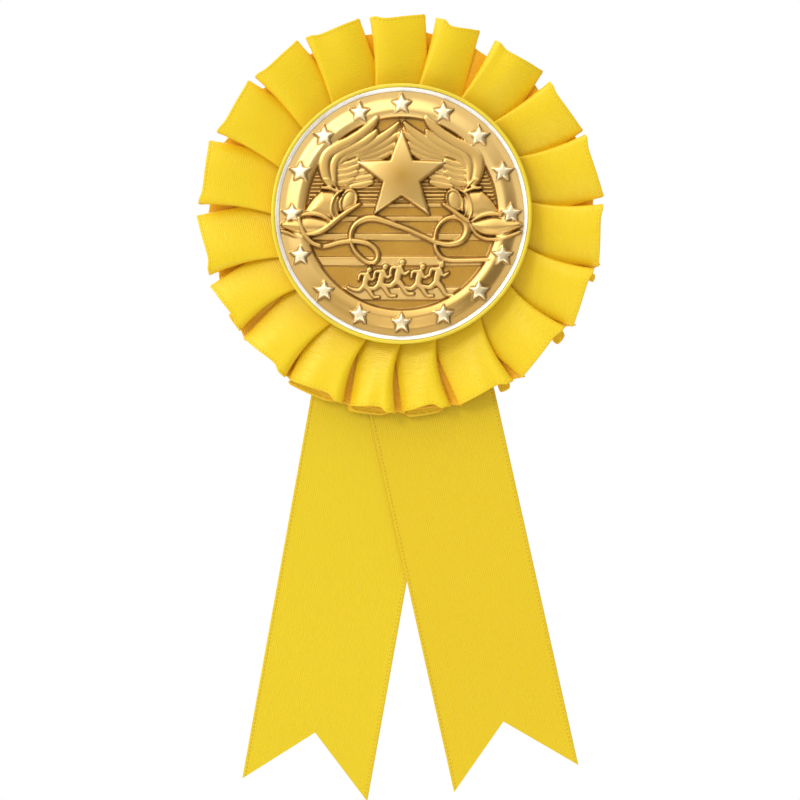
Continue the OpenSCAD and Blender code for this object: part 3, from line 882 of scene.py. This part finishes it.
LACE = [(-20.0, -0.8, 0.42), (-19.5, -3.4, 0.45), (-18.4, -5.2, 0.45), (-16.8, -6.3, 0.48),
        (-15.0, -6.4, 0.5), (-12.4, -5.7, 0.52), (-10.1, -5.4, 0.52), (-7.9, -5.6, 0.52), (-6.2, -6.2, 0.5),
        (-4.95, -7.4, 0.5), (-4.7, -8.6, 0.48), (-5.4, -9.6, 0.46), (-6.7, -9.6, 0.44), (-8.2, -8.6, 0.44),
        (-9.3, -7.3, 0.42), (-10.0, -5.6, 0.42), (-10.0, -3.7, 0.5), (-9.1, -2.1, 0.58), (-7.4, -1.1, 0.66),
        (-5.4, -0.9, 0.66), (-3.2, -1.5, 0.56), (-1.0, -2.3, 0.5), (1.3, -3.1, 0.46), (3.2, -4.0, 0.46),
        (5.2, -4.9, 0.48),
        (7.0, -5.7, 0.5), (9.1, -6.1, 0.52), (11.2, -5.7, 0.6), (12.5, -4.6, 0.7), (13.0, -3.1, 0.74),
        (12.6, -1.7, 0.7), (11.5, -0.8, 0.6), (10.1, -0.6, 0.5), (8.5, -1.2, 0.44), (7.3, -2.4, 0.42),
        (6.7, -3.9, 0.4), (6.6, -5.6, 0.4), (6.95, -7.3, 0.42), (7.9, -8.6, 0.44), (9.4, -9.2, 0.46),
        (11.6, -9.25, 0.46), (14.4, -9.2, 0.46), (17.6, -9.1, 0.46), (19.6, -9.2, 0.42)]
# A striding figure: each limb is a line of (x, z, half width) from the hip, facing right
STRIDE = {
    "torso": [(0.0, 0.0, 0.66), (0.22, 1.1, 0.74), (0.48, 2.1, 0.66)],
    "head": [(0.9, 3.05, 0.62), (0.95, 3.15, 0.62)],
    "front_arm": [(0.65, 2.1, 0.42), (1.25, 1.15, 0.36), (2.1, 1.55, 0.28)],
    "rear_arm": [(0.35, 2.25, 0.42), (-0.85, 2.2, 0.36), (-1.2, 1.15, 0.3)],
    "front_leg": [(0.1, 0.0, 0.62), (0.95, -1.0, 0.5), (1.75, -2.2, 0.38), (2.85, -2.3, 0.3)],
    "rear_leg": [(-0.1, -0.1, 0.62), (-1.15, -0.9, 0.48), (-2.4, -0.75, 0.38), (-3.3, -0.3, 0.3)],
}
# Each runner's hip (x, z) and size
RUNNERS = [(-7.3, -14.2, 1.0), (-4.2, -13.8, 1.06), (-0.9, -13.2, 1.14), (3.2, -13.8, 1.06),
           (6.9, -13.5, 1.12)]


def add_lanes(relief):
    """Running lanes that close up towards the horizon, then fine lines above them."""
    inside = np.hypot(relief.x, relief.z) < FLOOR_R
    for k in range(LANE_COUNT):
        drop = FIRST_LANE_DROP * LANE_RATIO ** k
        half = 0.047 * drop
        gap = np.abs(relief.z - (HORIZON - drop))
        bar = 0.36 * smoothstep((half - gap) / 0.16 + 0.5)
        relief.h = np.where(inside, np.maximum(relief.h, bar), relief.h)
    upper = inside & (relief.z > 2.4) & (relief.z < HORIZON + 1.5)
    fine = 0.42 * smoothstep(0.5 + 0.9 * np.cos(relief.z * TAU / FINE_LINE_GAP))
    relief.h = np.where(upper, np.maximum(relief.h, fine), relief.h)


def relief_height(x, z):
    """The whole embossed picture: its height, and its tone from brown (0) to gold (1) and pale (1.5), with
    painted shade and highlights in the tone.
    """
    r = np.hypot(x, z)
    relief = Relief(x, z)
    relief.h = band_height(r)
    add_lanes(relief)
    for mirror in (False, True):
        relief.blob(WING, 0.25, 0.35, 0.7, mirror)
        for points, base, rise in FEATHERS[::-1]:
            wider = [(a, b, 1.08 * c) for a, b, c in points]
            relief.tube(wider, 0.35 + 0.7 * base, 0.75 * rise, 0.4, mirror)
        relief.blob(ANKLE, 0.7, 1.0, 2.3, mirror)
        relief.blob(VAMP, 0.75, 1.25, 2.0, mirror)
        relief.blob(TONGUE, 0.75, 0.5, 1.4, mirror)
        for points, base, rise in SHOE_LINES + (RIGHT_SHOE_LINES if mirror else LEFT_SHOE_LINES):
            relief.tube(points, base, rise, 0.0, mirror)
        relief.tube(CUFF, 1.3, 0.5, 0.0, mirror)
        relief.tube(CUFF_TOP, 1.1, 0.5, 0.0, mirror)
    relief.tube([(a, b, 1.12 * c) for a, b, c in LACE], 0.5, 0.8)
    for hip_x, hip_z, size in RUNNERS:
        for limb in STRIDE.values():
            placed = [(hip_x + size * a, hip_z + size * b, size * c) for a, b, c in limb]
            relief.tube(placed, 0.35, 0.6, 0.8)
    figures = relief.h > band_height(r) + 0.3
    before = relief.h.copy()
    plane = 1.2 - 0.14 * (r - STAR_RING_R)
    for i in range(STAR_COUNT):
        star_x, star_z = rim_point(360 * i / STAR_COUNT, STAR_RING_R)
        relief.star(star_x, star_z, STAR_R, waist=0.5, base=plane, step=0.5, rise=0.35)
    small_stars = relief.h > before + 0.2
    before = relief.h.copy()
    relief.star(*MAIN_STAR, waist=0.41, base=0.8, step=0.45, rise=1.15)
    main_star = relief.h > before
    from_star = np.hypot(x - MAIN_STAR[0], z - MAIN_STAR[1]) / MAIN_STAR[2]
    # painted shade: the border's tone falls towards the bottom, away from the light
    border = 1 - 0.55 * smoothstep(-z / 20)
    tone = np.where(r > FLOOR_R, border, 0.36 * np.clip(relief.h / 1.1, 0, 1))
    tone = np.where(figures, np.where(z < -9, 0.8, 0.55), tone)
    # painted highlight: the small stars are painted pale
    tone = np.where(small_stars, 1.5, tone)
    # painted shade and highlight: the large star is darker at its centre and pale towards its tips
    tone = np.where(main_star, 0.1 + 1.3 * from_star, tone)
    return relief.h, tone


def blurred(values, passes):
    """Neighbour averages over a square grid, repeated."""
    for _ in range(passes):
        wide = np.pad(values, 1, mode="edge")
        values = (wide[:-2, 1:-1] + wide[2:, 1:-1] + wide[1:-1, :-2] + wide[1:-1, 2:] + 4 * values) / 8
    return values


# Points along each side of the medallion's grid, and how thick its flat foil is, in millimetres
GRID_COUNT = 316
FOIL_T = 0.9


def make_medallion(material):
    """The relief as a closed piece: its embossed front, its rim and its flat back."""
    count = GRID_COUNT
    gx, gz = disc_grid(count)
    x, z = gx * INSERT_R, gz * INSERT_R
    height, tone = relief_height(x, z)
    front = np.stack([x, -(INSERT_BACK + FOIL_T + blurred(height, 1)), z + CENTRE_Z], -1).reshape(-1, 3)
    index = np.arange(count * count).reshape(count, count)
    ring = np.concatenate([index[0, :-1], index[:-1, -1], index[-1, :0:-1], index[:0:-1, 0]])
    back = front[ring]
    back[:, 1] = -INSERT_BACK
    back_ring = count * count + np.arange(len(ring))
    quads = grid_quads(count, count)
    side = strip_quads(np.append(ring, ring[0]), np.append(back_ring, back_ring[0]))
    a, b, c = front[quads[0, :3]]
    turn = 1 if np.cross(b - a, c - b)[1] < 0 else -1
    faces = quads[:, ::turn].tolist() + side[:, ::-turn].tolist() + [back_ring[::turn].tolist()]
    # painted shade: what lies lower than its surroundings, both widely and close by, is painted darker, and
    # so is a steep side
    hollow_shade = 0.5 + (blurred(height, 14) - height) * 1.3 + (blurred(height, 4) - height) * 4.5
    steep = np.hypot(*np.gradient(height)) * (count - 1) / (2 * INSERT_R)
    hollow_shade = np.maximum(hollow_shade, 0.5 + 0.3 * np.clip((steep - 0.8) / 1.2, 0, 1))
    r = np.hypot(x, z)
    grain = np.where(height < 0.2, 1, 0.55) * ((r < FLOOR_R) & (height < 0.45))
    pad = np.zeros(len(ring))
    values = {
        "tone": np.concatenate([blurred(tone, 1).ravel(), pad + 1]),
        "hollow_shade": np.concatenate([np.clip(hollow_shade, 0, 1).ravel(), pad + 0.5]),
        "grain": np.concatenate([blurred(grain, 1).ravel(), pad]),
    }
    piece = add_mesh("medallion_relief", np.concatenate([front, back]), faces, material, values)
    piece.data.set_sharp_from_angle(angle=math.radians(60))
    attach(piece, "rosette")
    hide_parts("medallion_insert")


# ---------------- hard parts

# In metres: points nearer than the first are one point, and a bevel's edges under the second close up
SAME_POINT = 1e-7
SHORTEST_EDGE = 2e-6


def edit_mesh(mesh, change):
    """Changes a mesh through bmesh."""
    build = bmesh.new()
    build.from_mesh(mesh)
    change(build)
    build.to_mesh(mesh)
    build.free()


def make_bezel(material):
    """The bright ring: its face slopes in towards the insert, and only its outer lip stands up."""
    back, front = depth_range("insert_bezel")
    outer = disc_radius("insert_bezel")
    inner = INSERT_R + 0.05
    profile = [(inner, back), (outer, back), (outer, front - 0.2), (outer - 0.05, front - 0.07),
               (outer - 0.13, front), (outer - 0.22, front - 0.03), (inner + 0.1, front - 0.38),
               (inner, front - 0.5)]
    turns = 256
    angle = TAU * np.arange(turns + 1) / turns
    r, depth = np.array(profile + profile[:1]).T[..., None]
    points = np.stack(np.broadcast_arrays(r * np.sin(angle), -depth, r * np.cos(angle) + CENTRE_Z), -1)
    quads = grid_quads(len(profile) + 1, turns + 1).tolist()
    piece = add_mesh("insert_bezel_ring", points.reshape(-1, 3), quads, material)

    def close(build):
        bmesh.ops.remove_doubles(build, verts=build.verts, dist=SAME_POINT)
        bmesh.ops.recalc_face_normals(build, faces=build.faces)

    edit_mesh(piece.data, close)
    piece.data.set_sharp_from_angle(angle=math.radians(50))
    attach(piece, "rosette")
    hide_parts("insert_bezel")


def softened(node, name, width, material, body="rosette"):
    """A copy of a CAD node with its sharp edges rounded, which stands for it. The width is in mm."""
    mesh = frame["nodes"][node].data.copy()
    mesh.materials.clear()
    mesh.materials.append(material)

    def join_flat_faces(build):
        bmesh.ops.remove_doubles(build, verts=build.verts, dist=SAME_POINT)
        bmesh.ops.dissolve_limit(build, angle_limit=math.radians(0.5), verts=build.verts, edges=build.edges)
        for face in build.faces:
            face.smooth = True
            face.material_index = 0

    def close_slivers(build):
        bmesh.ops.dissolve_degenerate(build, dist=SHORTEST_EDGE, edges=build.edges)

    edit_mesh(mesh, join_flat_faces)
    piece = add_object(name, mesh)
    bevel = piece.modifiers.new("bevel", "BEVEL")
    bevel.width = width * MM
    bevel.segments = 3
    bevel.limit_method = "ANGLE"
    bevel.angle_limit = math.radians(40)
    bevel.harden_normals = True
    bpy.context.view_layer.update()
    graph = bpy.context.evaluated_depsgraph_get()
    final = bpy.data.meshes.new_from_object(piece.evaluated_get(graph), depsgraph=graph)
    edit_mesh(final, close_slivers)
    piece.modifiers.clear()
    piece.data = final
    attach(piece, body)
    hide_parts(node)


def paint(node, material):
    """Gives a CAD node that stays as it is a better material."""
    data = frame["nodes"][node].data
    data.materials.clear()
    data.materials.append(material)


# ---------------- the whole award ribbon

make_camera()
make_world()
make_area_light("key", (-0.5, -0.95, 0.42), size=0.32, watts=2.5, colour=(1.0, 0.985, 0.96))
make_area_light("low_fill", (0.05, -0.75, -0.6), size=0.5, watts=1.2)
make_area_light("back_fill", (0.4, 0.8, 0.5), size=0.7, watts=1.6)
make_floor()
bpy.context.scene.view_settings.view_transform = "Standard"

make_pleats(satin("pleat_satin", (0.82, 0.595, 0.0115, 1), (0.73, 0.45, 0.008, 1), dot_depth=0.5))
# painted shade: the tails get darker copies of the pleats' satin, the right tail a little darker than the
# left
make_tail("left", lambda t, s: -0.9 * np.sin(2.2 * t * math.pi) * t + 0.5 * s * t,
          satin("left_tail_satin", (0.73, 0.54, 0.011, 1), (0.62, 0.4, 0.008, 1), dot_depth=1.1))
make_tail("right", lambda t, s: 0.9 * np.sin(1.7 * t * math.pi) * t + 0.6 * s * t,
          satin("right_tail_satin", (0.72, 0.515, 0.011, 1), (0.61, 0.38, 0.008, 1), dot_depth=1.1))
make_medallion(gold_foil())

make_bezel(moulded("silver_rim", (0.95, 0.95, 0.93), 0.26, 500, coat=0.3, metal=0.2, peel_depth=0.000005))
softened("button_shell", "button_rim_shell", 0.08,
         moulded("yellow_plastic", (0.78, 0.6, 0.02), 0.32, 1500, coat=0.2))
paint("insert_adhesive", moulded("tape", (0.9, 0.9, 0.88), 0.6, 2000))
paint("button_back", moulded("white_plastic", (0.88, 0.87, 0.83), 0.5, 1200))
hot_melt = moulded("hot_melt", (0.85, 0.8, 0.66), 0.35, 500)
paint("button_glue", hot_melt)
paint("tail_glue", hot_melt)
paint("gather_stitches", thread_cloth())
softened("rosette_card", "rosette_card_board", 0.12,
         paper_board("card_board", (0.62, 0.54, 0.42), (0.42, 0.34, 0.24)))
softened("back_card", "back_card_board", 0.14,
         paper_board("back_board", (0.74, 0.72, 0.67), (0.55, 0.51, 0.44)))
softened("pin_pad", "pin_foam_pad", 0.12,
         moulded("foam_tape", (0.9, 0.9, 0.88), 0.75, 2600))
softened("tail_staples", "tail_staple_wires", 0.08,
         plated_steel("staple_wire", (0.62, 0.62, 0.6), 0.35, 9000))
softened("pin_base", "pin_base_plate", 0.1,
         plated_steel("pin_steel", (0.68, 0.66, 0.62), 0.26, 7000))
softened("pin_pivot", "pin_pivot_rivet", 0.14,
         plated_steel("rivet_steel", (0.72, 0.7, 0.67), 0.22, 7000))
softened("pin_needle", "pin_needle_wire", 0.1,
         plated_steel("needle_steel", (0.74, 0.74, 0.74), 0.16, 9000), body="needle")
softened("pin_lock", "pin_lock_barrel", 0.1,
         plated_steel("lock_steel", (0.7, 0.68, 0.64), 0.24, 7000), body="lock")
